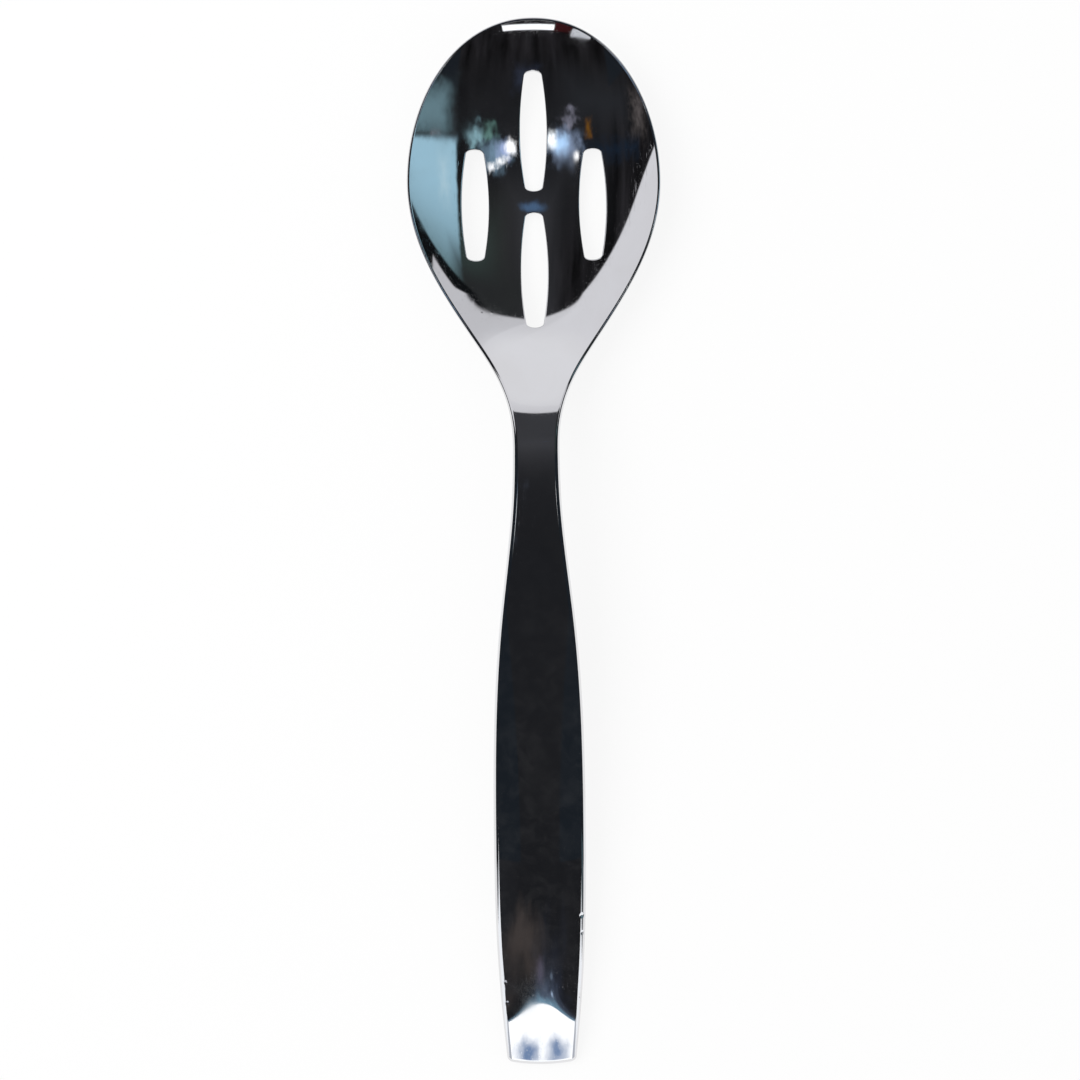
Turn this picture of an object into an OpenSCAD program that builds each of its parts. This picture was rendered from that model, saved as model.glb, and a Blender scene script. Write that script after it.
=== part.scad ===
// Slotted serving spoon of polished stainless steel, lying on a table as it would between uses.
// The bowl points along +Y, the handle along -Y, and X runs across the spoon.
// Bowl, shoulder, neck and handle are one blank of steel pressed to shape, so the spoon is one piece.
// A place along the spoon is its distance from the tip of the bowl. All lengths are in millimetres.

/* [Overall] */
// Length of the spoon from the tip of the bowl to the end of the handle
spoon_length = 254; // [250:1:258]

/* [Bowl] */
// Distance from the tip to the widest place of the bowl
bowl_widest_at = 39.5; // [37:0.5:42]
// Width of the bowl at its widest
bowl_width = 61.2; // [56:0.2:66]
// How full the outline of the tip is: 2 is a half ellipse, and more is blunter
tip_fullness = 2.1; // [2:0.05:2.3]
// Distance from the tip to the place where the outline starts to run in towards the neck
bowl_rear_at = 58; // [56:0.5:60]
// Width of the bowl at that place
bowl_rear_width = 52.8; // [49:0.2:56]
// Distance from the tip to the deepest place of the bowl
bowl_floor_at = 43; // [41:0.5:45]
// How far the rim stands above the middle of the bowl at its widest
bowl_depth = 10.8; // [9:0.1:12]
// Height of the bowl's inside at the tip
tip_height = 13.3; // [12:0.1:15]
// Slope of the bowl's inside at the tip, in degrees
tip_slope = 33; // [28:1:38]
// Thickness of the steel in the bowl
bowl_metal = 1.8; // [1.4:0.1:2.2]
// Width of the rounding along the rim, seen from above
rim_round = 0.8; // [0.6:0.1:1]

/* [Shoulder and neck] */
// Distance from the tip to the place where the bowl's hollow starts to fade
hollow_fades_at = 66; // [64:0.5:68]
// Distance from the tip to the foot of the shoulder, where the inside starts to climb fast
shoulder_foot_at = 76; // [74:0.5:78]
// Height of the top face at the foot of the shoulder
shoulder_foot_height = 8.8; // [8.2:0.1:9.6]
// Width at the foot of the shoulder
shoulder_foot_width = 31.8; // [29:0.2:34]
// Distance from the tip to the steepest place of the shoulder
shoulder_at = 87; // [85.5:0.5:88.5]
// Height of the top face at the steepest place of the shoulder
shoulder_height = 14.1; // [13.4:0.1:14.8]
// Width at the steepest place of the shoulder
shoulder_width = 18.5; // [17:0.1:20]
// Distance from the tip to the start of the neck, where the shoulder levels out
neck_start_at = 99; // [98:0.5:100]
// Height of the top face at the start of the neck
neck_start_height = 19.3; // [18.6:0.1:19.9]
// Width at the start of the neck
neck_start_width = 11.6; // [10.6:0.1:12.6]
// Distance from the tip to the narrowest place of the neck
neck_at = 106.5; // [105:0.5:108]
// Width of the neck at its narrowest
neck_width = 11.2; // [10.2:0.1:12]
// Distance from the tip to the highest place of the spoon, in the neck
arch_at = 114; // [112:0.5:116]
// Height of the top face at the highest place
arch_height = 20.9; // [20.4:0.1:21.6]
// Width at the highest place
arch_width = 11.6; // [10.6:0.1:12.6]
// How far the middle line of the neck stands above its two edges
neck_crown = 0.1; // [0.05:0.05:0.2]
// Thickness of the steel in the neck
neck_metal = 3.2; // [2.8:0.1:3.6]

/* [Handle] */
// Distance from the tip to the middle of the handle's flare
flare_at = 146; // [142:1:150]
// Width at the middle of the handle's flare
flare_width = 18.2; // [17:0.1:19.4]
// Distance from the tip to the widest place of the handle
handle_widest_at = 195; // [190:1:200]
// Height of the top face at the widest place of the handle
handle_height = 14; // [13.4:0.1:14.6]
// Width of the handle at its widest
handle_width = 22.2; // [20:0.2:24]
// Distance from the tip to the place where the end of the handle starts to turn down
end_bend_at = 236; // [234:0.5:238]
// Height of the top face where the end starts to turn down
end_bend_height = 7.6; // [7.2:0.1:8]
// Width where the end starts to turn down
end_bend_width = 19.8; // [18.6:0.1:21]
// Height of the top face at the end of the handle
end_height = 2.25; // [2.1:0.05:2.5]
// Slope of the top face at the end of the handle, in degrees
end_slope = 26; // [22:1:30]
// Width of the handle at its blunt end, where its two corners start to turn
end_width = 17; // [15.6:0.1:18]
// Angle at which the sides run in towards the end, in degrees
end_taper = 5; // [3:0.5:7]
// Radius of the two corners of the end
end_corner = 1.7; // [1.4:0.1:2.2]
// Radius of the slightly bulging end between the corners
end_arc = 40; // [25:1:60]
// How far the middle line of the handle stands above its two edges at its widest
handle_crown = 1.2; // [0.8:0.1:1.5]
// Distance from the tip to the place where the crown starts to fade
crown_fades_at = 234; // [232:0.5:236]
// Distance from the tip to the place behind which the end is flat across
end_flat_at = 246; // [244:0.5:248]
// Thickness of the steel at the end of the handle
end_metal = 2.5; // [2.2:0.1:2.8]
// Width of the rounding along the edges of the handle, seen from above
handle_round = 1.3; // [1:0.1:1.5]

/* [Slots] */
// Width of a slot at its middle
slot_width = 6.4; // [5.4:0.1:7.2]
// Width of a slot at its two blunt ends
slot_end_width = 3.8; // [3.2:0.1:4.6]
// How far the middle of a slot's end bulges past its corners
slot_end_bulge = 0.9; // [0.6:0.1:1.4]
// Length of the two slots on the middle line
middle_slot_length = 28.4; // [26:0.2:30]
// Length of the two slots beside them
side_slot_length = 27; // [25:0.2:29]
// Distance from the tip to the middle of the slot near the tip
front_slot_at = 26.2; // [25:0.2:27.4]
// Distance from the tip to the middle of the slot near the shoulder
rear_slot_at = 60.1; // [59:0.2:61]
// Distance from the tip to the middles of the two side slots
side_slot_at = 44.2; // [43:0.2:46]
// Distance from the middle line of the spoon to the middle of a side slot
side_slot_offset = 14.3; // [13:0.1:15.4]

/* [Hidden] */
steel_colour = "#C9CCD0";

// Overrun of the cutters past both faces of the steel
cut_overrun = 2;
// Half of the step over which a slope is measured
slope_step = 0.02;

// Facets along the spoon: from the tip to the bowl's widest place, along the middle, and round the end
tip_rows = 16;
middle_rows = 56;
end_rows = 7;
// Facets across half of one face: over its rounded edge, and over the rest
edge_columns = 4;
face_columns = 7;
// The rounded edge takes at most this share of the half width, near the tip and the end
edge_band_share = 0.3;
// Facets along the side of a slot, and round each half of its ends
slot_side_facets = 12;
slot_end_facets = 3;

bowl_half = bowl_width / 2;
handle_half = handle_width / 2;

// Blunt end: middles of the end's arc and of its right corner, and where the corner starts and ends
arc_middle_at = spoon_length - end_arc;
corner_x = end_width / 2 - end_corner * cos(end_taper);
corner_middle_at = arc_middle_at + sqrt(pow(end_arc - end_corner, 2) - pow(corner_x, 2));
corner_start_at = corner_middle_at + end_corner * sin(end_taper);
corner_end_at = arc_middle_at + (corner_middle_at - arc_middle_at) * end_arc / (end_arc - end_corner);

// Side view of the top face on the middle line: place and height
side_line = [
    [0, tip_height],
    [bowl_floor_at, bowl_metal],
    [shoulder_foot_at, shoulder_foot_height],
    [shoulder_at, shoulder_height],
    [neck_start_at, neck_start_height],
    [arch_at, arch_height],
    [handle_widest_at, handle_height],
    [end_bend_at, end_bend_height],
    [spoon_length, end_height]
];
side_bends = spline_bends(side_line, -tan(tip_slope), -tan(end_slope));

// Outline behind the bowl's widest place: place and width
edge_line = [
    [bowl_widest_at, bowl_width],
    [bowl_rear_at, bowl_rear_width],
    [shoulder_foot_at, shoulder_foot_width],
    [shoulder_at, shoulder_width],
    [neck_start_at, neck_start_width],
    [neck_at, neck_width],
    [arch_at, arch_width],
    [flare_at, flare_width],
    [handle_widest_at, handle_width],
    [end_bend_at, end_bend_width],
    [corner_start_at, end_width]
];
edge_bends = spline_bends(edge_line, 0, -2 * tan(end_taper));

// A smooth curve through the points of a line has these second slopes at them.
// The curve is one cubic between each two points, and its slope at both ends is given.
// The points' equations are solved one after another, each on the result of the one before.
function spline_bends(line, start_slope, end_slope, i = 0, share_before = 0, bend_before = 0) =
    let (
        last = len(line) - 1,
        gap_before = i == 0 ? 0 : line[i][0] - line[i - 1][0],
        gap_after = i == last ? 0 : line[i + 1][0] - line[i][0],
        slope_before = i == 0 ? start_slope : (line[i][1] - line[i - 1][1]) / gap_before,
        slope_after = i == last ? end_slope : (line[i + 1][1] - line[i][1]) / gap_after,
        pivot = 2 * (gap_before + gap_after) - gap_before * share_before,
        share = gap_after / pivot,
        bend = (6 * (slope_after - slope_before) - gap_before * bend_before) / pivot
    )
    i == last ? [bend] :
    let (rest = spline_bends(line, start_slope, end_slope, i + 1, share, bend))
    concat([bend - share * rest[0]], rest);

// Value of that curve at a place
function on_spline(line, bends, at) =
    let (
        last = len(line) - 1,
        i = max([0, for (k = [0 : last - 1]) if (line[k][0] <= at) k]),
        gap = line[i + 1][0] - line[i][0],
        a = (line[i + 1][0] - at) / gap,
        b = 1 - a,
        sag = (pow(a, 3) - a) * bends[i] + (pow(b, 3) - b) * bends[i + 1]
    )
    a * line[i][1] + b * line[i + 1][1] + sag * gap * gap / 6;

// Height of a circle over its middle line, at a distance from its middle
function arc_height_at(radius, off) = sqrt(max(0, radius * radius - off * off));

// A value that goes gently from one size to another between two places
function blend(from_size, to_size, from_at, to_at, at) =
    let (share = min(max((at - from_at) / (to_at - from_at), 0), 1))
    from_size + (to_size - from_size) * share * share * (3 - 2 * share);

// Half width of the outline: nearly a half ellipse in front, then the sides, the corners and the end's arc
function half_width(at) =
    at < bowl_widest_at ? bowl_half * pow(arc_height_at(1, 1 - at / bowl_widest_at), 2 / tip_fullness)
    : at < corner_start_at ? on_spline(edge_line, edge_bends, at) / 2
    : at < corner_end_at ? corner_x + arc_height_at(end_corner, at - corner_middle_at)
    : arc_height_at(end_arc, at - arc_middle_at);

// Cosine of the angle between the outline and the middle line
function outline_cosine(at) =
    let (
        before = max(at - slope_step, 0),
        after = min(at + slope_step, spoon_length),
        flare = (half_width(after) - half_width(before)) / (after - before)
    )
    1 / sqrt(1 + flare * flare);

// Curve across the spoon: hollow in the bowl, crowned from the neck on, and flat at the end
function cross_bend(at) =
    let (
        hollow = bowl_depth / pow(bowl_half, 2),
        neck_bend = -neck_crown / pow(arch_width / 2, 2),
        handle_bend = -handle_crown / pow(handle_half, 2)
    )
    at < arch_at ? blend(hollow, neck_bend, hollow_fades_at, arch_at, at)
    : at < handle_widest_at ? blend(neck_bend, handle_bend, arch_at, handle_widest_at, at)
    : blend(handle_bend, 0, crown_fades_at, end_flat_at, at);

// Thickness of the steel, square to its face
function metal(at) =
    at < arch_at ? blend(bowl_metal, neck_metal, hollow_fades_at, arch_at, at)
    : blend(neck_metal, end_metal, arch_at, spoon_length, at);

// Width of the rounded edge, seen from above
function edge_round(at) = blend(rim_round, handle_round, hollow_fades_at, arch_at, at);

// Height of the top face before its edges are rounded
function face_height(x, at) = on_spline(side_line, side_bends, at) + cross_bend(at) * x * x;

// Thickness of the steel along Z, which is more where the face is steep
function upright_metal(x, at) =
    let (
        along = (face_height(x, at + slope_step) - face_height(x, at - slope_step)) / (2 * slope_step),
        across = 2 * cross_bend(at) * x
    )
    metal(at) * sqrt(1 + along * along + across * across);

// Share of the thickness that the rounded edge leaves, from none on the outline to all of it.
// The point's distance to the outline is measured to the nearer of the side and the end.
function edge_share(x, at, half) =
    let (
        from_side = (half * half - x * x) / (2 * half) * outline_cosine(at),
        from_end = spoon_length - at - (end_arc - arc_height_at(end_arc, x)),
        left = edge_round(at) - max(min(from_side, from_end), 0)
    )
    left > 0 ? arc_height_at(1, left / edge_round(at)) : 1;

// Point on the top face, where side is 1, or on the underside, where it is -1
function skin_point(x, at, half, side) =
    let (
        thick = upright_metal(x, at),
        height = face_height(x, at) - thick / 2 * (1 - side * edge_share(x, at, half))
    )
    [x, spoon_length / 2 - at, height];

// Places of the rows, close together where the outline turns round the tip and the end
row_places = concat(
    [for (i = [1 : tip_rows]) bowl_widest_at * (1 - cos(90 * i / tip_rows))],
    [for (i = [1 : middle_rows]) bowl_widest_at + (corner_start_at - bowl_widest_at) * i / middle_rows],
    [for (i = [1 : end_rows - 1]) corner_start_at + (spoon_length - corner_start_at) * sin(90 * i / end_rows)]
);

// Places across one face, from left to right, with the rounded edges finer than the rest
function row_columns(at, half) =
    let (
        band = min(edge_round(at) / outline_cosine(at), edge_band_share * half),
        flat_half = half - band
    )
    concat(
        [for (i = [0 : edge_columns - 1]) -half + band * (1 - cos(90 * i / edge_columns))],
        [for (i = [-face_columns : face_columns]) flat_half * i / face_columns],
        [for (i = [edge_columns - 1 : -1 : 0]) half - band * (1 - cos(90 * i / edge_columns))]
    );

// Closed ring of points round the spoon at a place: over the top from left to right, and back below
function ring(at) =
    let (
        half = half_width(at),
        columns = row_columns(at, half),
        last = len(columns) - 1
    )
    concat(
        [for (i = [0 : last]) skin_point(columns[i], at, half, 1)],
        [for (i = [last - 1 : -1 : 1]) skin_point(columns[i], at, half, -1)]
    );

// Tip and end close in one point each, halfway through the steel
function end_point(at) =
    [0, spoon_length / 2 - at, on_spline(side_line, side_bends, at) - upright_metal(0, at) / 2];

// Facets round half of a ring, which has as many on the top as below
ring_half = 2 * (edge_columns + face_columns);
ring_size = 2 * ring_half;

// Two triangles between two rings, cut on opposite corners on the left and on the right
function skin_pair(row, column) =
    let (
        here = 1 + row * ring_size,
        next = here + ring_size,
        after = (column + 1) % ring_size,
        on_left = column < ring_half / 2 || column >= ring_half * 3 / 2
    )
    on_left ? [
        [here + column, here + after, next + column],
        [next + column, here + after, next + after]
    ] : [
        [here + column, next + after, next + column],
        [here + column, here + after, next + after]
    ];

// The pressed blank, before its slots are cut
module blank() {
    rings = [for (at = row_places) ring(at)];
    last_ring = 1 + (len(rings) - 1) * ring_size;
    end_index = last_ring + ring_size;
    polyhedron(
        points = concat(
            [end_point(0)],
            [for (one_ring = rings) each one_ring],
            [end_point(spoon_length)]
        ),
        faces = concat(
            [for (i = [0 : ring_size - 1]) [0, 1 + (i + 1) % ring_size, 1 + i]],
            [for (row = [0 : len(rings) - 2], i = [0 : ring_size - 1]) each skin_pair(row, i)],
            [for (i = [0 : ring_size - 1]) [end_index, last_ring + i, last_ring + (i + 1) % ring_size]]
        )
    );
}

// Half width of a slot at a distance from its middle: sides bowed outwards, ends blunt and rounded
function slot_half_width(off, slot_length) =
    let (
        half_length = slot_length / 2,
        bow = 1 - pow(off / half_length, 2),
        corner = abs(off) - (half_length - slot_end_bulge)
    )
    (slot_end_width + (slot_width - slot_end_width) * bow) / 2
    * (corner > 0 ? arc_height_at(1, corner / slot_end_bulge) : 1);

// Upright cutter of one slot, with its middle given by its place and its offset to the right
module slot_cut(at, offset_x, slot_length) {
    straight_half = slot_length / 2 - slot_end_bulge;
    side_offs = concat(
        [for (i = [0 : slot_end_facets - 1]) -straight_half - slot_end_bulge * cos(90 * i / slot_end_facets)],
        [for (i = [0 : slot_side_facets]) straight_half * (2 * i / slot_side_facets - 1)],
        [for (i = [slot_end_facets - 1 : -1 : 0]) straight_half + slot_end_bulge * cos(90 * i / slot_end_facets)]
    );
    last = len(side_offs) - 1;
    outline = concat(
        [for (i = [0 : last]) [slot_half_width(side_offs[i], slot_length), side_offs[i]]],
        [for (i = [last - 1 : -1 : 1]) [-slot_half_width(side_offs[i], slot_length), side_offs[i]]]
    );
    translate([offset_x, spoon_length / 2 - at, -cut_overrun])
        linear_extrude(height = arch_height + 2 * cut_overrun)
            polygon(outline);
}

// Height of the lowest point of the underside, which touches the table
lowest = min([for (at = row_places) skin_point(0, at, half_width(at), -1)[2]]);

// Spoon: the pressed blank with its four draining slots cut through the bowl
module spoon() {
    color(steel_colour)
        translate([0, 0, -lowest])
            difference() {
                blank();
                slot_cut(front_slot_at, 0, middle_slot_length);
                slot_cut(rear_slot_at, 0, middle_slot_length);
                for (side = [-1, 1])
                    slot_cut(side_slot_at, side * side_slot_offset, side_slot_length);
            }
}

spoon();
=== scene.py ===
import math

import bmesh
import bpy
import numpy as np
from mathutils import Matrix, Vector, geometry


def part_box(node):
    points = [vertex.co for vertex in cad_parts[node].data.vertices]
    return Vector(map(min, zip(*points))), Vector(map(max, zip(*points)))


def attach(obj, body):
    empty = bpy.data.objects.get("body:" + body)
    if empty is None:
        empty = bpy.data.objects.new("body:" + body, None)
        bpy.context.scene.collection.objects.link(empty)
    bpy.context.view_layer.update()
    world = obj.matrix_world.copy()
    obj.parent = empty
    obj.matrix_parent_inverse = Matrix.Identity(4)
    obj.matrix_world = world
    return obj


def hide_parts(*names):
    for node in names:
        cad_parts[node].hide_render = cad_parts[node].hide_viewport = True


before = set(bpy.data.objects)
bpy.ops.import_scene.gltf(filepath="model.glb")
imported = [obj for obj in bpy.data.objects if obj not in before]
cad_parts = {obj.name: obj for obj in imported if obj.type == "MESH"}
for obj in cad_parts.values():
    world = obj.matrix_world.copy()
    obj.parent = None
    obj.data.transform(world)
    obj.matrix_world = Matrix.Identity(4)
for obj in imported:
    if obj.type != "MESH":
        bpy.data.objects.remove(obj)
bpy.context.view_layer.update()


# Spoon: one blank of stainless steel, stamped out with its slots, pressed to shape in a die and
# polished all over to a mirror. The edges were rounded by the polishing wheel, so none is sharp.
# The bowl points along +Y and a place along the spoon is its distance from the tip.
# Lengths here are millimetres, and MM turns them into the scene's metres.
MM = 0.001
spoon_low, spoon_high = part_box("spoon")
spoon_length = (spoon_high[1] - spoon_low[1]) / MM

bowl_widest_at = 39.5
bowl_width = (spoon_high[0] - spoon_low[0]) / MM
tip_fullness = 2.1
bowl_depth = 10.8
bowl_metal = 1.8
neck_metal = 3.2
end_metal = 2.5
hollow_fades_at = 66
arch_at = 114
arch_width = 11.6
neck_crown = 0.1
handle_widest_at = 195
handle_width = 22.2
handle_crown = 1.2
crown_fades_at = 234
end_flat_at = 246
rim_round = 0.8
handle_round = 1.3
slot_round = 0.3
end_width = 17
end_taper = math.radians(5)
end_corner = 1.7
end_arc = 40


def smooth_line(points, start_slope, end_slope):
    """A smooth curve through points, one cubic between each two, with a given slope at both ends."""
    places, sizes = np.array(points, float).T
    gaps = np.diff(places)
    slopes = np.diff(sizes) / gaps
    before = np.concatenate([[0], gaps])
    after = np.concatenate([gaps, [0]])
    equations = np.diag(2 * (before + after)) + np.diag(gaps, 1) + np.diag(gaps, -1)
    changes = 6 * np.diff(np.concatenate([[start_slope], slopes, [end_slope]]))
    bends = np.linalg.solve(equations, changes)

    def size_at(at):
        at = np.asarray(at, float)
        i = np.clip(np.searchsorted(places, at, side="right") - 1, 0, len(gaps) - 1)
        a = (places[i + 1] - at) / gaps[i]
        b = 1 - a
        sag = (a**3 - a) * bends[i] + (b**3 - b) * bends[i + 1]
        return a * sizes[i] + b * sizes[i + 1] + sag * gaps[i] ** 2 / 6

    return size_at


# The side view of the top face runs from the tip down to the bowl's floor, up the shoulder,
# over the arch of the neck and down the handle to its turned-down end.
side_height = smooth_line(
    [
        (0, 13.3),
        (43, 1.8),
        (76, 8.8),
        (87, 14.1),
        (99, 19.3),
        (arch_at, 20.9),
        (handle_widest_at, 14),
        (236, 7.6),
        (spoon_length, 2.25),
    ],
    -math.tan(math.radians(33)),
    -math.tan(math.radians(26)),
)

# The blunt end is a slight bulge between two rounded corners, which end where the sides begin.
arc_middle_at = spoon_length - end_arc
corner_x = end_width / 2 - end_corner * math.cos(end_taper)
corner_middle_at = arc_middle_at + math.sqrt((end_arc - end_corner) ** 2 - corner_x**2)
corner_start_at = corner_middle_at + end_corner * math.sin(end_taper)
corner_end_at = arc_middle_at + (corner_middle_at - arc_middle_at) * end_arc / (end_arc - end_corner)
side_width = smooth_line(
    [
        (bowl_widest_at, bowl_width),
        (58, 52.8),
        (76, 31.8),
        (87, 18.5),
        (99, 11.6),
        (106.5, 11.2),
        (arch_at, arch_width),
        (146, 18.2),
        (handle_widest_at, handle_width),
        (236, 19.8),
        (corner_start_at, end_width),
    ],
    0,
    -2 * math.tan(end_taper),
)


def circle_height(radius, off):
    return np.sqrt(np.maximum(0, radius**2 - off**2))


def half_width(at):
    """Half of the spoon's width: nearly a half ellipse at the tip, then the sides, corners and end."""
    at = np.asarray(at, float)
    tip = bowl_width / 2 * circle_height(1, np.clip(1 - at / bowl_widest_at, 0, 1)) ** (2 / tip_fullness)
    corner = corner_x + circle_height(end_corner, at - corner_middle_at)
    end = circle_height(end_arc, at - arc_middle_at)
    return np.select(
        [at < bowl_widest_at, at < corner_start_at, at < corner_end_at],
        [tip, side_width(at) / 2, corner],
        end,
    )


def blend(from_size, to_size, from_at, to_at, at):
    """A size that goes gently from one value to another between two places."""
    share = np.clip((at - from_at) / (to_at - from_at), 0, 1)
    return from_size + (to_size - from_size) * share**2 * (3 - 2 * share)


def face_height(x, at):
    """Height of the top face: hollow across the bowl, crowned from the neck on, flat at the end."""
    hollow = bowl_depth / (bowl_width / 2) ** 2
    neck_bend = -neck_crown / (arch_width / 2) ** 2
    handle_bend = -handle_crown / (handle_width / 2) ** 2
    bend = np.select(
        [at < arch_at, at < handle_widest_at],
        [
            blend(hollow, neck_bend, hollow_fades_at, arch_at, at),
            blend(neck_bend, handle_bend, arch_at, handle_widest_at, at),
        ],
        blend(handle_bend, 0, crown_fades_at, end_flat_at, at),
    )
    return side_height(at) + bend * x**2


def face_slopes(height_at, x, at, step=0.02):
    """Slopes of a face across and along the spoon. The second is towards the tip, as +Y is."""
    across = (height_at(x + step, at) - height_at(x - step, at)) / (2 * step)
    along = (height_at(x, at + step) - height_at(x, at - step)) / (2 * step)
    return np.stack([across, -along], axis=-1)


def upright_metal(x, at):
    """Thickness of the steel along Z, which is more where the face is steep."""
    bowl_to_neck = blend(bowl_metal, neck_metal, hollow_fades_at, arch_at, at)
    neck_to_end = blend(neck_metal, end_metal, arch_at, spoon_length, at)
    slopes = face_slopes(face_height, x, at)
    return np.where(at < arch_at, bowl_to_neck, neck_to_end) * np.sqrt(1 + (slopes**2).sum(axis=-1))


def under_height(x, at):
    return face_height(x, at) - upright_metal(x, at)


def even_places(curve, spacing):
    """Points along a dense curve, as far apart as the spacing given for each of its points."""
    steps = np.linalg.norm(np.diff(curve, axis=0), axis=1)
    counted = np.concatenate([[0], np.cumsum(steps / (spacing[1:] / 2 + spacing[:-1] / 2))])
    wanted = np.linspace(0, counted[-1], int(round(counted[-1])) + 1)
    return np.stack([np.interp(wanted, counted, curve[:, k]) for k in range(2)], axis=1)


def outward(loop):
    """Directions square to a closed loop of points, to the right of its way round."""
    ways = np.roll(loop, -1, axis=0) - np.roll(loop, 1, axis=0)
    ways /= np.linalg.norm(ways, axis=1, keepdims=True)
    return np.stack([ways[:, 1], -ways[:, 0]], axis=1)


def mirrored_loop(right_side):
    """Closes the right half of an outline, from its first to its last point on the middle line."""
    left_side = right_side[-2:0:-1] * [-1, 1]
    return np.concatenate([right_side, left_side])


# The outline in plan, as x and the place along the spoon. Points are close where it turns fast.
plan_spacing = 0.75
turns = np.linspace(0, math.pi, 6001)
outline_places = spoon_length * (1 - np.cos(turns)) / 2
outline_curve = np.stack([half_width(outline_places), outline_places], axis=1)
outline_spacing = np.interp(
    outline_places, [0, 12, spoon_length - 8, spoon_length - 3], [0.4, plan_spacing, plan_spacing, 0.2]
)
outline_curve[[0, -1], 0] = 0
outline = mirrored_loop(even_places(outline_curve, outline_spacing))

# Each slot is a bowed shape with blunt, rounded ends: its length, its middle's x and place.
slot_width = 6.4
slot_end_width = 3.8
slot_end_bulge = 0.9
slots = [(28.4, 0, 26.2), (28.4, 0, 60.1), (27, -14.3, 44.2), (27, 14.3, 44.2)]


def slot_half_width(off, slot_length):
    bow = 1 - (off / (slot_length / 2)) ** 2
    corner = np.clip((abs(off) - slot_length / 2) / slot_end_bulge + 1, 0, 1)
    return (slot_end_width + (slot_width - slot_end_width) * bow) / 2 * circle_height(1, corner)


def slot_loop(slot_length, middle_x, middle_at):
    offs = slot_length / 2 * -np.cos(np.linspace(0, math.pi, 1201))
    curve = np.stack([slot_half_width(offs, slot_length), offs], axis=1)
    ends = slot_length / 2 - abs(offs)
    right_side = even_places(curve, np.interp(ends, [0, 1, 3], [0.16, 0.22, 0.5]))
    right_side[[0, -1], 0] = 0
    return mirrored_loop(right_side) + [middle_x, middle_at]


# Plan of the mesh: rings of points that follow each edge inwards over its rounding, then a grid.
# A turn of 0 is on the edge itself and a quarter turn is where the rounding meets the face.
rim_turns = np.radians([0, 12, 25, 39, 55, 72, 90])
slot_turns = np.radians([0, 30, 60, 90])
plan_points = []
plan_turns = []
plan_ways = []
plan_rounds = []
plan_is_rim = []
plan_quads = []
inner_loops = []


def add_points(points, turn, ways, rounds, is_rim):
    first = sum(len(rows) for rows in plan_points)
    plan_points.append(points)
    plan_turns.append(np.full(len(points), turn))
    plan_ways.append(ways)
    plan_rounds.append(rounds)
    plan_is_rim.append(np.full(len(points), is_rim))
    return np.arange(first, first + len(points))


def add_edge(loop, ways, rounds, edge_turns, is_rim):
    """Rings from an edge over its rounding. Ways point off the steel. Rounds is the rounding's width."""
    rings = []
    for turn in edge_turns:
        points = loop - ways * (rounds * (1 - math.cos(turn)))[:, None]
        rings.append(add_points(points, turn, ways, rounds, is_rim))
    for outer, inner in zip(rings, rings[1:]):
        quads = np.stack([outer, np.roll(outer, -1), np.roll(inner, -1), inner], axis=1)
        plan_quads.append(quads if is_rim else quads[:, ::-1])
    inner_loops.append(rings[-1])
    return rings[0]


rim_rounds = blend(rim_round, handle_round, hollow_fades_at, arch_at, outline[:, 1])
rim_ring = add_edge(outline, outward(outline), rim_rounds, rim_turns, True)
slot_rings = []
for slot_length, middle_x, middle_at in slots:
    loop = slot_loop(slot_length, middle_x, middle_at)
    slot_rings.append(add_edge(loop, -outward(loop), np.full(len(loop), slot_round), slot_turns, False))
edge_points = np.concatenate(plan_points)

# The grid between the rings keeps clear of them, so that no sliver is left beside an edge.
least_gap = plan_spacing * 0.55
half_columns = int(bowl_width / 2 / plan_spacing)
grid_x = np.arange(-half_columns, half_columns + 1) * plan_spacing
grid_at = np.arange(plan_spacing, spoon_length, plan_spacing)
grid = np.stack(np.meshgrid(grid_x, grid_at), axis=-1).reshape(-1, 2)
grid = grid[abs(grid[:, 0]) < half_width(grid[:, 1]) - plan_spacing / 2]


def nearest_gaps(points, targets):
    """The distance from each point to the nearest of the targets."""
    nearest = np.full(len(points), np.inf)
    batch = 200
    for start in range(0, len(targets), batch):
        gaps = np.linalg.norm(points[:, None] - targets[None, start : start + batch], axis=-1)
        nearest = np.minimum(nearest, gaps.min(axis=1))
    return nearest


def in_slot(points, margin):
    """Tells which points lie in a slot, or closer to it than the margin."""
    inside = np.zeros(len(points), bool)
    for slot_length, middle_x, middle_at in slots:
        off = points[:, 1] - middle_at
        near = abs(off) < slot_length / 2 + margin
        reach = slot_half_width(np.clip(off, -slot_length / 2, slot_length / 2), slot_length) + margin
        inside |= near & (abs(points[:, 0] - middle_x) < reach)
    return inside


grid = grid[~in_slot(grid, slot_round)]
grid = grid[nearest_gaps(grid, edge_points) > least_gap]
inner_indexes = np.concatenate(inner_loops)
grid_indexes = add_points(grid, math.pi / 2, np.zeros_like(grid), np.ones(len(grid)), False)
points = np.concatenate(plan_points)

# A triangulation joins the grid with the innermost rings, and what fell in a slot is dropped.
flat_indexes = np.concatenate([inner_indexes, grid_indexes])
flat_edges = []
first = 0
for loop in inner_loops:
    flat_edges += [(first + i, first + (i + 1) % len(loop)) for i in range(len(loop))]
    first += len(loop)
made_points, _, made_faces, came_from, _, _ = geometry.delaunay_2d_cdt(
    [Vector(p) for p in points[flat_indexes]], flat_edges, [], 1, 1e-6
)
made_points = np.array([tuple(p) for p in made_points])
made_indexes = flat_indexes[[origin[0] for origin in came_from]]
made_faces = np.array(made_faces)
middles = made_points[made_faces].mean(axis=1)
kept = ~in_slot(middles, slot_round * 0.9) & (abs(middles[:, 0]) < half_width(middles[:, 1]))
flat_triangles = made_indexes[made_faces[kept]]

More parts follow.
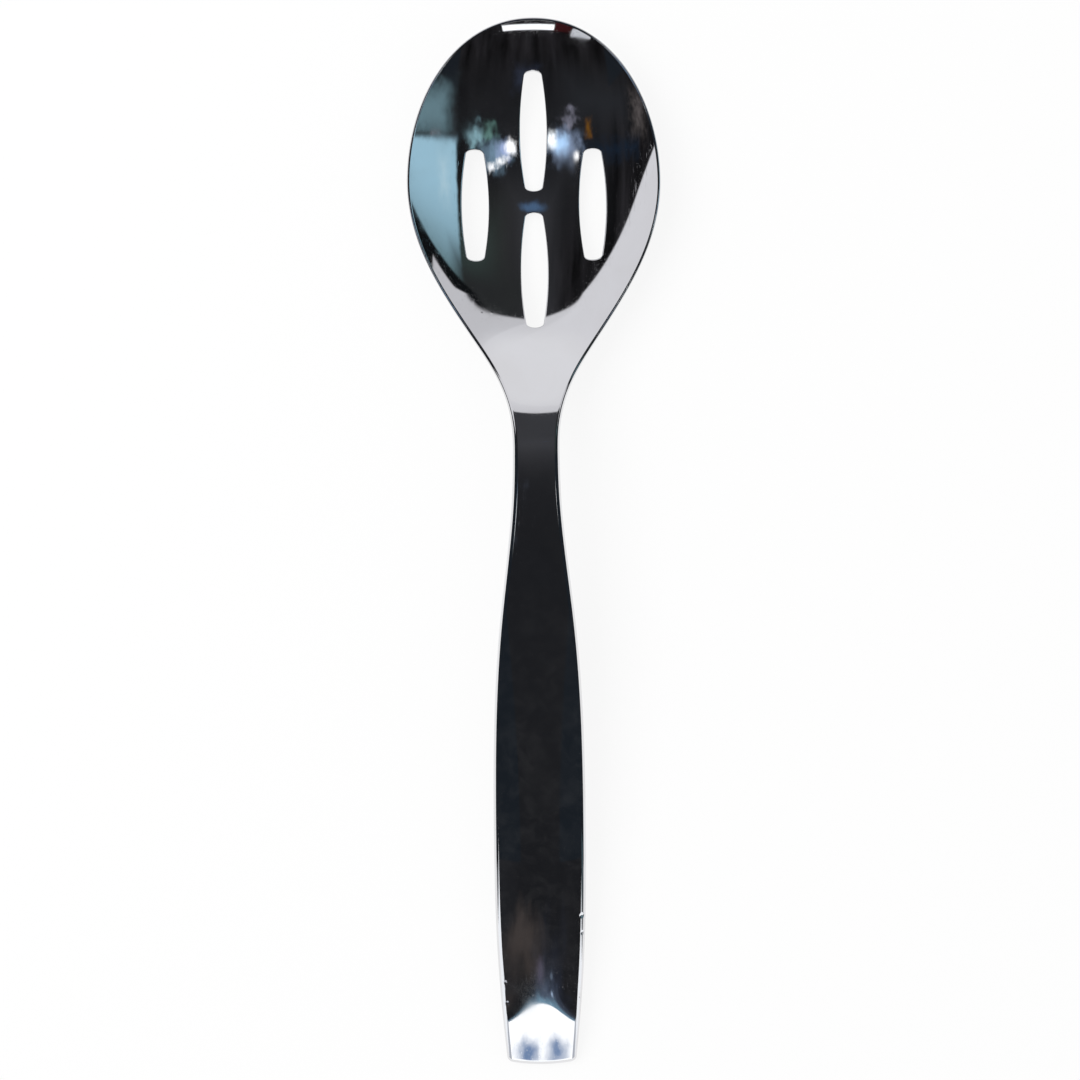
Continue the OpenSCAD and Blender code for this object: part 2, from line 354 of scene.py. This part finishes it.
# Both faces of the steel lie over the same plan. At the rim they share the outermost ring, and the
# slots have upright walls between their rings.
x, at = points.T
turn = np.concatenate(plan_turns)
ways = np.concatenate(plan_ways) * [1, -1]
rounds = np.concatenate(plan_rounds)
is_rim = np.concatenate(plan_is_rim)
metal = upright_metal(x, at)
round_height = np.where(is_rim, metal / 2, rounds)
lost = round_height * (1 - np.sin(turn))
lift = spoon_low[2] / MM - (under_height(x, at) + lost).min()
steepness = round_height / rounds * np.cos(turn)


def skin(heights, slopes, side):
    """Places and normals of one face of the steel. Side is 1 for the top and -1 for the underside."""
    places = np.stack([x, spoon_length / 2 - at, heights + lift - side * lost], axis=1) * MM
    flat = -side * slopes * np.sin(turn)[:, None] + steepness[:, None] * ways
    normals = np.concatenate([flat, side * np.sin(turn)[:, None]], axis=1)
    return places, normals / np.linalg.norm(normals, axis=1, keepdims=True)


top_places, top_normals = skin(face_height(x, at), face_slopes(face_height, x, at), 1)
under_places, under_normals = skin(under_height(x, at), face_slopes(under_height, x, at), -1)
own_under = np.ones(len(points), bool)
own_under[rim_ring] = False
under_index = np.where(own_under, len(points) + np.cumsum(own_under) - 1, np.arange(len(points)))

plan_faces = np.concatenate(plan_quads).tolist() + flat_triangles.tolist()
top_faces = [face[::-1] for face in plan_faces]
under_faces = [under_index[face].tolist() for face in plan_faces]
wall_faces = []
for ring in slot_rings:
    walls = np.stack([ring, under_index[ring], under_index[np.roll(ring, -1)], np.roll(ring, -1)], axis=1)
    wall_faces += walls.tolist()

spoon_places = np.concatenate([top_places, under_places[own_under]])
spoon_normals = np.concatenate([top_normals, under_normals[own_under]])
spoon_mesh = bpy.data.meshes.new("spoon")
spoon_mesh.from_pydata(spoon_places.tolist(), [], top_faces + under_faces + wall_faces)

# Triangles join into quads wherever two lie nearly flat to each other.
joined = bmesh.new()
joined.from_mesh(spoon_mesh)
triangles = [face for face in joined.faces if len(face.verts) == 3]
bmesh.ops.join_triangles(
    joined,
    faces=triangles,
    angle_face_threshold=math.radians(20),
    angle_shape_threshold=math.radians(40),
)
joined.to_mesh(spoon_mesh)
joined.free()
spoon_mesh.shade_smooth()
spoon_mesh.normals_split_custom_set_from_vertices(spoon_normals.tolist())

# The material asks how far a place is from the spoon's edge, in millimetres and up to 5.
edge_gaps = np.minimum(nearest_gaps(points, outline), 5)
spoon_mesh.attributes.new("edge_gap", "FLOAT", "POINT").data.foreach_set(
    "value", np.concatenate([edge_gaps, edge_gaps[own_under]]).astype(np.float32)
)
spoon = bpy.data.objects.new("polished_spoon", spoon_mesh)
bpy.context.scene.collection.objects.link(spoon)


# Stainless steel, mirror polished on soft wheels. The eye gets clear, slightly wavy reflections, a few
# hairline scratches, small pits and nicks, and faint smudges where hands have held it.
def linear(hex_colour):
    """Turns an sRGB hex value into the linear colour that a shader takes."""
    parts = [int(hex_colour[i : i + 2], 16) / 255 for i in (1, 3, 5)]
    return [part / 12.92 if part <= 0.04045 else ((part + 0.055) / 1.055) ** 2.4 for part in parts] + [1]


def add_node(tree, kind, settings=None, **inputs):
    """Adds a node with its settings. An input is a value, or the output socket of another node."""
    made = tree.nodes.new(kind)
    for name, value in (settings or {}).items():
        setattr(made, name, value)
    for name, value in inputs.items():
        socket = made.inputs[int(name[1:])] if name[1:].isdigit() else made.inputs[name.replace("_", " ")]
        if isinstance(value, bpy.types.NodeSocket):
            tree.links.new(value, socket)
        else:
            socket.default_value = value
    return made


steel = bpy.data.materials.new("mirror_polished_stainless_steel")
steel.use_nodes = True
tree = steel.node_tree
tree.nodes.clear()
place = add_node(tree, "ShaderNodeTexCoord").outputs["Object"]

# The press leaves waves about 14 mm long, a few thousandths of a millimetre high.
wave_length = 14 * MM
wave_height = 0.006 * MM
waves = add_node(tree, "ShaderNodeTexNoise", {}, Vector=place, Scale=1 / wave_length, Detail=1.0)
bump = add_node(tree, "ShaderNodeBump", {}, Distance=wave_height, Height=waves.outputs[0])

# Hairline scratches run mostly along the spoon, a few degrees askew. Real ones are about 0.02 mm wide,
# too fine to show from here, so they are drawn 0.15 mm wide and 9 mm long. They are a little rougher.
scratch_width = 0.15 * MM
scratch_length = 9 * MM
scratch_depth = 0.001 * MM
scratch_turn = math.radians(7)
scratch_roughness = 0.08
scratch_places = add_node(
    tree,
    "ShaderNodeMapping",
    {},
    Vector=place,
    Rotation=(0, 0, scratch_turn),
    Scale=(1 / scratch_width, 1 / scratch_length, 1 / scratch_width),
)
scratch_noise = add_node(
    tree, "ShaderNodeTexNoise", {}, Vector=scratch_places.outputs[0], Scale=1.0, Detail=2.0
)
scratches = add_node(
    tree, "ShaderNodeMapRange", {}, Value=scratch_noise.outputs[0], From_Min=0.66, From_Max=0.74
).outputs[0]
bump = add_node(
    tree,
    "ShaderNodeBump",
    {"invert": True},
    Distance=scratch_depth,
    Height=scratches,
    Normal=bump.outputs[0],
)

# Knocks in the drawer leave nicks along the rounded edges near the end of the handle. They lie within
# about 2 mm of the edge, from 85 mm behind the spoon's middle to the corners of the end.
edge_gap = add_node(tree, "ShaderNodeAttribute", {"attribute_name": "edge_gap"}).outputs["Fac"]
along = add_node(tree, "ShaderNodeSeparateXYZ", {}, Vector=place).outputs["Y"]
nicked = 1.0
for measure, none_at, all_at in [
    (edge_gap, 2.3, 1.5),
    (along, -80 * MM, -90 * MM),
    (along, -114 * MM, -108 * MM),
]:
    reached = add_node(tree, "ShaderNodeMapRange", {}, Value=measure, From_Min=none_at, From_Max=all_at)
    nicked = add_node(
        tree, "ShaderNodeMath", {"operation": "MULTIPLY"}, _0=reached.outputs[0], _1=nicked
    ).outputs[0]

# The marks are shallow pits of about half a millimetre all over, a few in each square centimetre, and
# the deeper nicks. For each kind: their spacing in mm, their radius as a share of that, the share of
# places that stay without one, their depth in mm, and where they lie.
marks = [(3.2, 0.16, 0.7, 0.002, 1.0), (2.6, 0.34, 0.48, 0.12, nicked)]
for spacing, radius_share, rarity, depth, where in marks:
    cells = add_node(tree, "ShaderNodeTexVoronoi", {}, Vector=place, Scale=1 / (spacing * MM))
    chance = add_node(tree, "ShaderNodeSeparateXYZ", {}, Vector=cells.outputs["Color"]).outputs["X"]
    chosen = add_node(tree, "ShaderNodeMath", {"operation": "GREATER_THAN"}, _0=chance, _1=rarity)
    pits = add_node(
        tree,
        "ShaderNodeMapRange",
        {"interpolation_type": "SMOOTHSTEP"},
        Value=cells.outputs["Distance"],
        From_Min=radius_share,
        From_Max=0.0,
    )
    for limit in [chosen.outputs[0], where]:
        pits = add_node(tree, "ShaderNodeMath", {"operation": "MULTIPLY"}, _0=pits.outputs[0], _1=limit)
    bump = add_node(
        tree,
        "ShaderNodeBump",
        {"invert": True},
        Distance=depth * MM,
        Height=pits.outputs[0],
        Normal=bump.outputs[0],
    )

# Smudges are a soft haze in patches of about 16 mm.
smudge_size = 16 * MM
smudge_noise = add_node(
    tree, "ShaderNodeTexNoise", {}, Vector=place, Scale=1 / smudge_size, Detail=4.0, Distortion=0.6
)
smudges = add_node(
    tree,
    "ShaderNodeMapRange",
    {"interpolation_type": "SMOOTHSTEP"},
    Value=smudge_noise.outputs[0],
    From_Min=0.45,
    From_Max=0.75,
    To_Min=0.03,
    To_Max=0.1,
)
roughness = add_node(
    tree,
    "ShaderNodeMath",
    {"operation": "MULTIPLY_ADD"},
    _0=scratches,
    _1=scratch_roughness,
    _2=smudges.outputs[0],
)

# Hands leave a thin film of grease in flecks of about 3 mm on the handle, pale against the dark. Where
# it lies, a small share of the light is scattered and not mirrored.
fleck_size = 3 * MM
film_scatter = 0.01
film_noise = add_node(
    tree, "ShaderNodeTexNoise", {}, Vector=place, Scale=1 / fleck_size, Detail=5.0, Distortion=0.8
)
film_flecks = add_node(
    tree, "ShaderNodeMapRange", {}, Value=film_noise.outputs[0], From_Min=0.45, From_Max=0.75
).outputs[0]
held = add_node(
    tree, "ShaderNodeMapRange", {}, Value=along, From_Min=10 * MM, From_Max=-50 * MM
).outputs[0]
film = add_node(tree, "ShaderNodeMath", {"operation": "MULTIPLY"}, _0=film_flecks, _1=held).outputs[0]
bare_steel = add_node(
    tree, "ShaderNodeMath", {"operation": "MULTIPLY_ADD"}, _0=film, _1=-film_scatter, _2=1.0
).outputs[0]
steel_colour = add_node(
    tree,
    "ShaderNodeMix",
    {"data_type": "RGBA"},
    _0=smudge_noise.outputs[0],
    _6=linear("#EAEBEE"),
    _7=linear("#DCDBDB"),
)
shader = add_node(
    tree,
    "ShaderNodeBsdfPrincipled",
    {},
    Base_Color=steel_colour.outputs[2],
    Metallic=bare_steel,
    Roughness=roughness.outputs[0],
    Normal=bump.outputs[0],
)
add_node(tree, "ShaderNodeOutputMaterial", {}, Surface=shader.outputs[0])
spoon_mesh.materials.append(steel)
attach(spoon, "root")
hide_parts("spoon")


# Table: a large plain board with matt white paint. It shows white to the eye and in the steel, and the
# spoon's soft shadow lies on it.
table_size = 6.0
half = table_size / 2
table_corners = [(-half, -half, 0), (half, -half, 0), (half, half, 0), (-half, half, 0)]
table_mesh = bpy.data.meshes.new("table")
table_mesh.from_pydata(table_corners, [], [(0, 1, 2, 3)])
table = bpy.data.objects.new("table", table_mesh)
bpy.context.scene.collection.objects.link(table)

# To the eye and in the steel, most of the board's white is its own, and the rest is lit paint.
own_white = 0.82
white_board = bpy.data.materials.new("matt_white_board")
white_board.use_nodes = True
tree = white_board.node_tree
tree.nodes.clear()
paint = add_node(tree, "ShaderNodeBsdfDiffuse", {}, Color=linear("#F4F4F4"))
glow = add_node(tree, "ShaderNodeEmission", {}, Color=linear("#FFFFFF"), Strength=1.0)
rays = add_node(tree, "ShaderNodeLightPath")
seen = add_node(
    tree,
    "ShaderNodeMath",
    {"operation": "MAXIMUM"},
    _0=rays.outputs["Is Camera Ray"],
    _1=rays.outputs["Is Glossy Ray"],
)
share = add_node(tree, "ShaderNodeMath", {"operation": "MULTIPLY"}, _0=seen.outputs[0], _1=own_white)
surface = add_node(
    tree, "ShaderNodeMixShader", {}, Fac=share.outputs[0], _1=paint.outputs[0], _2=glow.outputs[0]
)
add_node(tree, "ShaderNodeOutputMaterial", {}, Surface=surface.outputs[0])
table_mesh.materials.append(white_board)


# Light: one large soft box, high on the left. It doesn't show in the steel, only its light counts.
soft_box_data = bpy.data.lights.new("soft_box", "AREA")
soft_box_data.size = 0.9
soft_box_data.energy = 7
soft_box = bpy.data.objects.new("soft_box", soft_box_data)
soft_box.location = (-0.7, 0.25, 1.1)
soft_box.rotation_euler = (-soft_box.location).to_track_quat("-Z", "Y").to_euler()
soft_box.visible_glossy = False
soft_box.visible_camera = False
bpy.context.scene.collection.objects.link(soft_box)


# Cards: lit cards and lamps that stand and hang near the spoon, so its bowl and its handle see them at
# different places. Only the polished steel shows them. Their places here are millimetres.
def card(name, corners, colour, strength=1.0, flecks=None):
    """Adds a lit card. One with flecks, sized along X, Y and Z, fades out raggedly from its middle."""
    material = bpy.data.materials.new(name)
    material.use_nodes = True
    tree = material.node_tree
    tree.nodes.clear()
    surface = add_node(tree, "ShaderNodeEmission", {}, Color=linear(colour), Strength=strength)
    if flecks:
        place = add_node(tree, "ShaderNodeTexCoord").outputs
        from_middle = add_node(
            tree,
            "ShaderNodeMapping",
            {"vector_type": "TEXTURE"},
            Vector=place["Generated"],
            Location=(0.5, 0.5, 0.5),
            Scale=(0.5, 0.5, 0.5),
        )
        distance = add_node(
            tree, "ShaderNodeVectorMath", {"operation": "LENGTH"}, _0=from_middle.outputs[0]
        )
        fleck_places = add_node(
            tree,
            "ShaderNodeMapping",
            {},
            Vector=place["Object"],
            Scale=[1 / (size * MM) for size in flecks],
        )
        noise = add_node(
            tree, "ShaderNodeTexNoise", {}, Vector=fleck_places.outputs[0], Scale=1.0, Detail=3.0
        )
        torn = add_node(
            tree,
            "ShaderNodeMath",
            {"operation": "ADD"},
            _0=noise.outputs[0],
            _1=distance.outputs["Value"],
        )
        cover = add_node(
            tree,
            "ShaderNodeMapRange",
            {"interpolation_type": "SMOOTHSTEP"},
            Value=torn.outputs[0],
            From_Min=1.4,
            From_Max=0.6,
        )
        clear = add_node(tree, "ShaderNodeBsdfTransparent", {})
        surface = add_node(
            tree,
            "ShaderNodeMixShader",
            {},
            _0=cover.outputs[0],
            _1=clear.outputs[0],
            _2=surface.outputs[0],
        )
    add_node(tree, "ShaderNodeOutputMaterial", {}, Surface=surface.outputs[0])
    mesh = bpy.data.meshes.new(name)
    mesh.from_pydata([[size * MM for size in corner] for corner in corners], [], [range(len(corners))])
    mesh.materials.append(material)
    made = bpy.data.objects.new(name, mesh)
    bpy.context.scene.collection.objects.link(made)
    made.visible_camera = False
    made.visible_diffuse = False
    made.visible_shadow = False


def hung(x, y, half_x, half_y, height=720):
    """Corners of a level card that hangs over the spoon."""
    return [(x + i * half_x, y + j * half_y, height) for i, j in [(-1, -1), (1, -1), (1, 1), (-1, 1)]]


def standing(left, right, low, high, y):
    """Corners of an upright card behind the end of the handle."""
    return [(left, y, low), (right, y, low), (right, y, high), (left, y, high)]


# A far window shows as a thin white band at the tip of the bowl, with a dark red curtain beside it.
card("far_window", standing(-111, 150, 373, 400, -353), "#FBFDFF", 1.5)
card("far_curtain", standing(-205, -113, 350, 404, -352), "#3A1618")
card("far_window_beside_the_curtain", standing(-330, -207, 385, 425, -353), "#DADDE3")

# A low window close behind the handle shows white at the handle's end, over a bluish edge. The duller
# cards on its left and right, and the two that run forward from them, show along the rounded edges.
card("low_window", standing(-28, 28, 4, 150, -200), "#FBFDFF", 1.4)
card("left_of_the_low_window", standing(-90, -28, 4, 150, -200), "#C9CDD6", 0.9)
card("right_of_the_low_window", standing(28, 90, 4, 150, -200), "#C9CDD6", 0.9)
card("blue_edge_of_the_low_window", standing(-60, 60, 132, 168, -201), "#86AFC8", 0.8, (8, 8, 8))
for side, nearest in [(-1, -118), (1, -132)]:
    corners = [(side * 90, y, z) for y, z in [(-200, 4), (nearest, 4), (nearest, 120), (-200, 120)]]
    card("card_along_the_edge", corners, "#F4F7FB", 1.2)

# Over the window are soft dim patches and two specks. They show between its white and the dark.
card("glow_above_the_low_window", standing(-26, 44, 120, 195, -203), "#6A7890", 0.6, (7, 7, 7))
card("patch_above_the_low_window", standing(-16, 10, 160, 206, -198), "#77728A", 0.55, (6, 6, 6))
for left, low in [(16.5, 171), (14.5, 156)]:
    corners = standing(left, left + 7, low, low + 6, -197)
    card("speck_above_the_low_window", corners, "#A9C0DC", 1.0, (3, 3, 3))
card("brown_shade_behind_the_end", standing(-66, 16, 68, 164, -150), "#443E3C", 1.0, (14, 14, 30))

# In front of the window stand two small soft things of a blue grey.
for left, right in [(-8.5, 1.7), (-1, 10)]:
    card("blue_grey_thing", standing(left, right, 14, 104, -198), "#7A94BC", 1.0, (2.5, 2.5, 40))

# Dark cards hang over both sides of the handle and stand beside it. They keep its rounded edges dark.
for side in [-1, 1]:
    card("dark_card_over_the_handles_side", hung(side * 30, -32, 16, 64, 60), "#1D2228")
    corners = [(side * 70, y, z) for y, z in [(-95, 18), (60, 18), (60, 95), (-95, 95)]]
    card("dark_card_beside_the_handle", corners, "#1D2228")

# Two bare lamps with a blue glow round them hang 0.7 m over the table, one on each side. A smaller one
# hangs further left, and a bright crooked tube leads away from the right one.
card("left_lamp", hung(-140, -12, 70, 58), "#F6FCFF", 1.8, (40, 40, 40))
card("left_lamp_halo", hung(-212, 6, 115, 74, 722), "#B0D4FA", 1.4, (40, 40, 40))
card("left_lamp_glow", hung(-250, 15, 230, 110, 724), "#94A6C4", 0.9, (50, 50, 50))
card("small_left_lamp", hung(-342, 60, 42, 30), "#FFFFFF", 1.6, (20, 20, 20))
card("right_lamp", hung(176, 18, 64, 54), "#FFFFFF", 2.0, (40, 40, 40))
card("right_lamp_halo", hung(228, 30, 100, 72, 722), "#ADC0EA", 1.0, (40, 40, 40))
card("right_lamp_glow", hung(300, 45, 200, 105, 724), "#7C99AF", 1.0, (50, 50, 50))
for x, y in [(225, 66), (262, 76), (300, 91), (338, 100), (376, 113), (410, 112)]:
    card("piece_of_the_crooked_tube", hung(x, y, 52, 25, 718), "#F4F7FA", 1.4, (18, 18, 18))

# A small blue lamp hangs low over the bowl. It is tilted, so the bowl sees its face and the neck its edge.
blue_lamp_corners = [(-62, 117, 240), (66, 117, 240), (66, 167, 360), (-62, 167, 360)]
card("blue_lamp", blue_lamp_corners, "#4E6888", 1.0, (25, 25, 90))


# Studio: a dark ceiling with pale and light blue screens hung low around it. Only the polished steel
# shows them. To the camera the surroundings are white, and on the table falls an even soft light.
# A screen's place is where a ray from the spoon meets a plane overhead, one unit above it. A ray that
# rises less than the least rise meets it as far out as one that rises that much.
least_rise = 0.02
world = bpy.data.worlds.new("studio")
world.use_nodes = True
bpy.context.scene.world = world
tree = world.node_tree
tree.nodes.clear()
way = add_node(tree, "ShaderNodeTexCoord").outputs["Generated"]
upward = add_node(tree, "ShaderNodeSeparateXYZ", {}, Vector=way).outputs["Z"]
above = add_node(tree, "ShaderNodeMath", {"operation": "MAXIMUM"}, _0=upward, _1=least_rise)
nearness = add_node(tree, "ShaderNodeMath", {"operation": "DIVIDE"}, _0=1.0, _1=above.outputs[0])
overhead = add_node(
    tree, "ShaderNodeVectorMath", {"operation": "SCALE"}, _0=way, Scale=nearness.outputs[0]
).outputs[0]
ragged = add_node(tree, "ShaderNodeTexNoise", {}, Vector=overhead, Scale=14.0, Detail=3.0).outputs[0]

# The dark ceiling has faint streaks in it.
streak_places = add_node(tree, "ShaderNodeMapping", {}, Vector=overhead, Scale=(6, 1.2, 1))
streak_noise = add_node(
    tree, "ShaderNodeTexNoise", {}, Vector=streak_places.outputs[0], Scale=1.0, Detail=4.0
)
streaks = add_node(
    tree, "ShaderNodeMapRange", {}, Value=streak_noise.outputs[0], From_Min=0.4, From_Max=0.7
)
studio_look = add_node(
    tree,
    "ShaderNodeMix",
    {"data_type": "RGBA"},
    _0=streaks.outputs[0],
    _6=linear("#0E0E0F"),
    _7=linear("#2B2A2D"),
).outputs[2]

# Each screen: its name, colour, middle, half sizes, turn in degrees, softness and raggedness of its edge.
# A later one hides those before it.
screens = [
    ("ceiling_over_the_spoon", "#202124", (0.0, -0.2), (0.9, 0.45), 0, 0.4, 0.0),
    ("ceiling_on_the_left", "#2B2D31", (-0.9, -0.45), (0.45, 0.15), 0, 0.3, 0.0),
    ("ceiling_near_the_back_wall", "#2C2C2C", (0.6, 0.6), (0.35, 0.4), 0, 0.25, 0.0),
    ("ceiling_over_the_neck", "#4E4F54", (0.0, 0.7), (0.08, 0.4), 0, 0.4, 0.0),
    ("haze_above_the_window", "#3A4256", (0.07, -0.64), (0.06, 0.03), 0, 0.16, 0.15),
    ("glow_above_the_window", "#62646F", (0.01, -0.555), (0.0, 0.0), 0, 0.045, 0.04),
    ("grey_streaks_on_the_left", "#676160", (-1.65, -0.38), (0.05, 0.1), 0, 0.25, 0.4),
    ("dark_blue_streak_on_the_left", "#1B2838", (-1.1, -0.06), (0.5, 0.03), 0, 0.12, 0.2),
    ("brown_lamp_on_the_left", "#8A5C16", (-0.66, -0.23), (0.015, 0.04), 0, 0.05, 0.1),
    ("teal_screen", "#6F8D97", (2.0, -0.42), (0.82, 0.22), 0, 0.2, 0.25),
    ("blue_screen", "#A8D2E6", (1.72, 0.36), (0.72, 0.51), 0, 0.03, 0.05),
    ("line_over_the_blue_screen", "#33383A", (1.7, -0.19), (0.7, 0.01), 0, 0.02, 0.04),
    ("patch_on_the_line", "#8A868E", (1.45, -0.2), (0.1, 0.005), 0, 0.03, 0.1),
    ("light_on_the_blue_screen", "#BFE0EE", (1.25, 0.12), (0.05, 0.1), 0, 0.15, 0.2),
    ("shade_on_the_blue_screen", "#445954", (1.7, 0.9), (1.0, 0.35), 0, 0.5, 0.0),
    ("end_of_the_blue_screen", "#2B2D2E", (0.6, 0.95), (0.5, 0.35), 0, 0.2, 0.0),
    ("gap_beside_the_blue_screen", "#101214", (2.27, 1.465), (2.0, 1.0), -16.8, 0.02, 0.0),
    ("foot_of_the_back_wall", "#D2D2D6", (-3.386, 6.569), (5, 5), -8.2, 0.015, 0.0),
    ("corner_of_the_back_wall", "#D2D2D6", (1.02, 5.908), (0.18, 5), 0, 0.01, 0.0),
    ("foot_of_the_right_wall", "#D2D2D6", (2.808, 5.649), (0.726, 5), -21.5, 0.015, 0.0),
    ("near_end_of_the_side_wall", "#DEDEE2", (-1.62, 5.764), (5, 5), 16.5, 0.015, 0.0),
    ("pale_side_wall", "#E6E6EA", (-3.655, 4.862), (5, 5), 29.4, 0.015, 0.0),
    ("pale_back_wall", "#EDEDF0", (0.0, 6.2), (7, 5), 0, 0.15, 0.0),
    ("teal_patch", "#A6D4E0", (0.71, -0.17), (0.06, 0.045), 20, 0.08, 0.25),
    ("green_patch", "#6C968E", (0.50, -0.21), (0.03, 0.03), 0, 0.07, 0.3),
    ("grey_patch", "#8C8C9C", (-0.42, -0.3), (0.05, 0.03), 40, 0.07, 0.3),
]
for name, colour, middle, half_sizes, turn, softness, raggedness in screens:
    turned = add_node(
        tree,
        "ShaderNodeMapping",
        {"vector_type": "TEXTURE", "label": name},
        Vector=overhead,
        Location=(*middle, 0),
        Rotation=(0, 0, math.radians(turn)),
    )
    mirrored = add_node(tree, "ShaderNodeVectorMath", {"operation": "ABSOLUTE"}, _0=turned.outputs[0])
    outside = add_node(
        tree,
        "ShaderNodeVectorMath",
        {"operation": "SUBTRACT"},
        _0=mirrored.outputs[0],
        _1=(*half_sizes, 0),
    )
    sides = add_node(tree, "ShaderNodeSeparateXYZ", {}, Vector=outside.outputs[0]).outputs
    distance = add_node(tree, "ShaderNodeMath", {"operation": "MAXIMUM"}, _0=sides["X"], _1=sides["Y"])
    torn = add_node(
        tree,
        "ShaderNodeMath",
        {"operation": "MULTIPLY_ADD"},
        _0=ragged,
        _1=raggedness,
        _2=distance.outputs[0],
    )
    cover = add_node(
        tree,
        "ShaderNodeMapRange",
        {"interpolation_type": "SMOOTHSTEP"},
        Value=torn.outputs[0],
        From_Min=raggedness / 2 + softness,
        From_Max=raggedness / 2 - softness,
    )
    studio_look = add_node(
        tree,
        "ShaderNodeMix",
        {"data_type": "RGBA"},
        _0=cover.outputs[0],
        _6=studio_look,
        _7=linear(colour),
    ).outputs[2]

# Near the horizon the studio is a pale haze, which the sides of the spoon show.
haze = add_node(
    tree,
    "ShaderNodeMapRange",
    {"interpolation_type": "SMOOTHSTEP"},
    Value=upward,
    From_Min=0.34,
    From_Max=0.2,
)
studio_look = add_node(
    tree,
    "ShaderNodeMix",
    {"data_type": "RGBA"},
    _0=haze.outputs[0],
    _6=studio_look,
    _7=linear("#A6A8AC"),
).outputs[2]

rays = add_node(tree, "ShaderNodeLightPath")
around = add_node(
    tree,
    "ShaderNodeMix",
    {"data_type": "RGBA"},
    _0=rays.outputs["Is Glossy Ray"],
    _6=linear("#E6E6E6"),
    _7=studio_look,
)
seen = add_node(
    tree,
    "ShaderNodeMix",
    {"data_type": "RGBA"},
    _0=rays.outputs["Is Camera Ray"],
    _6=around.outputs[2],
    _7=linear("#FFFFFF"),
)
sky = add_node(tree, "ShaderNodeBackground", {}, Color=seen.outputs[2], Strength=1.0)
add_node(tree, "ShaderNodeOutputWorld", {}, Surface=sky.outputs[0])


# Camera: straight above the spoon, 0.7 m from the table, with the frame just over the spoon's length.
# The spoon lies a little askew and off the middle of the frame, so the camera is turned and moved by
# that much.
camera_height = 0.7
frame_width = 0.2646
camera_data = bpy.data.cameras.new("camera")
camera_data.sensor_width = 36
camera_data.lens = camera_data.sensor_width * camera_height / frame_width
camera = bpy.data.objects.new("camera", camera_data)
camera.location = (0.7 * MM, 1.2 * MM, camera_height)
camera.rotation_euler = (0, 0, math.radians(-0.54))
bpy.context.scene.collection.objects.link(camera)
bpy.context.scene.camera = camera
bpy.context.scene.view_settings.view_transform = "Standard"
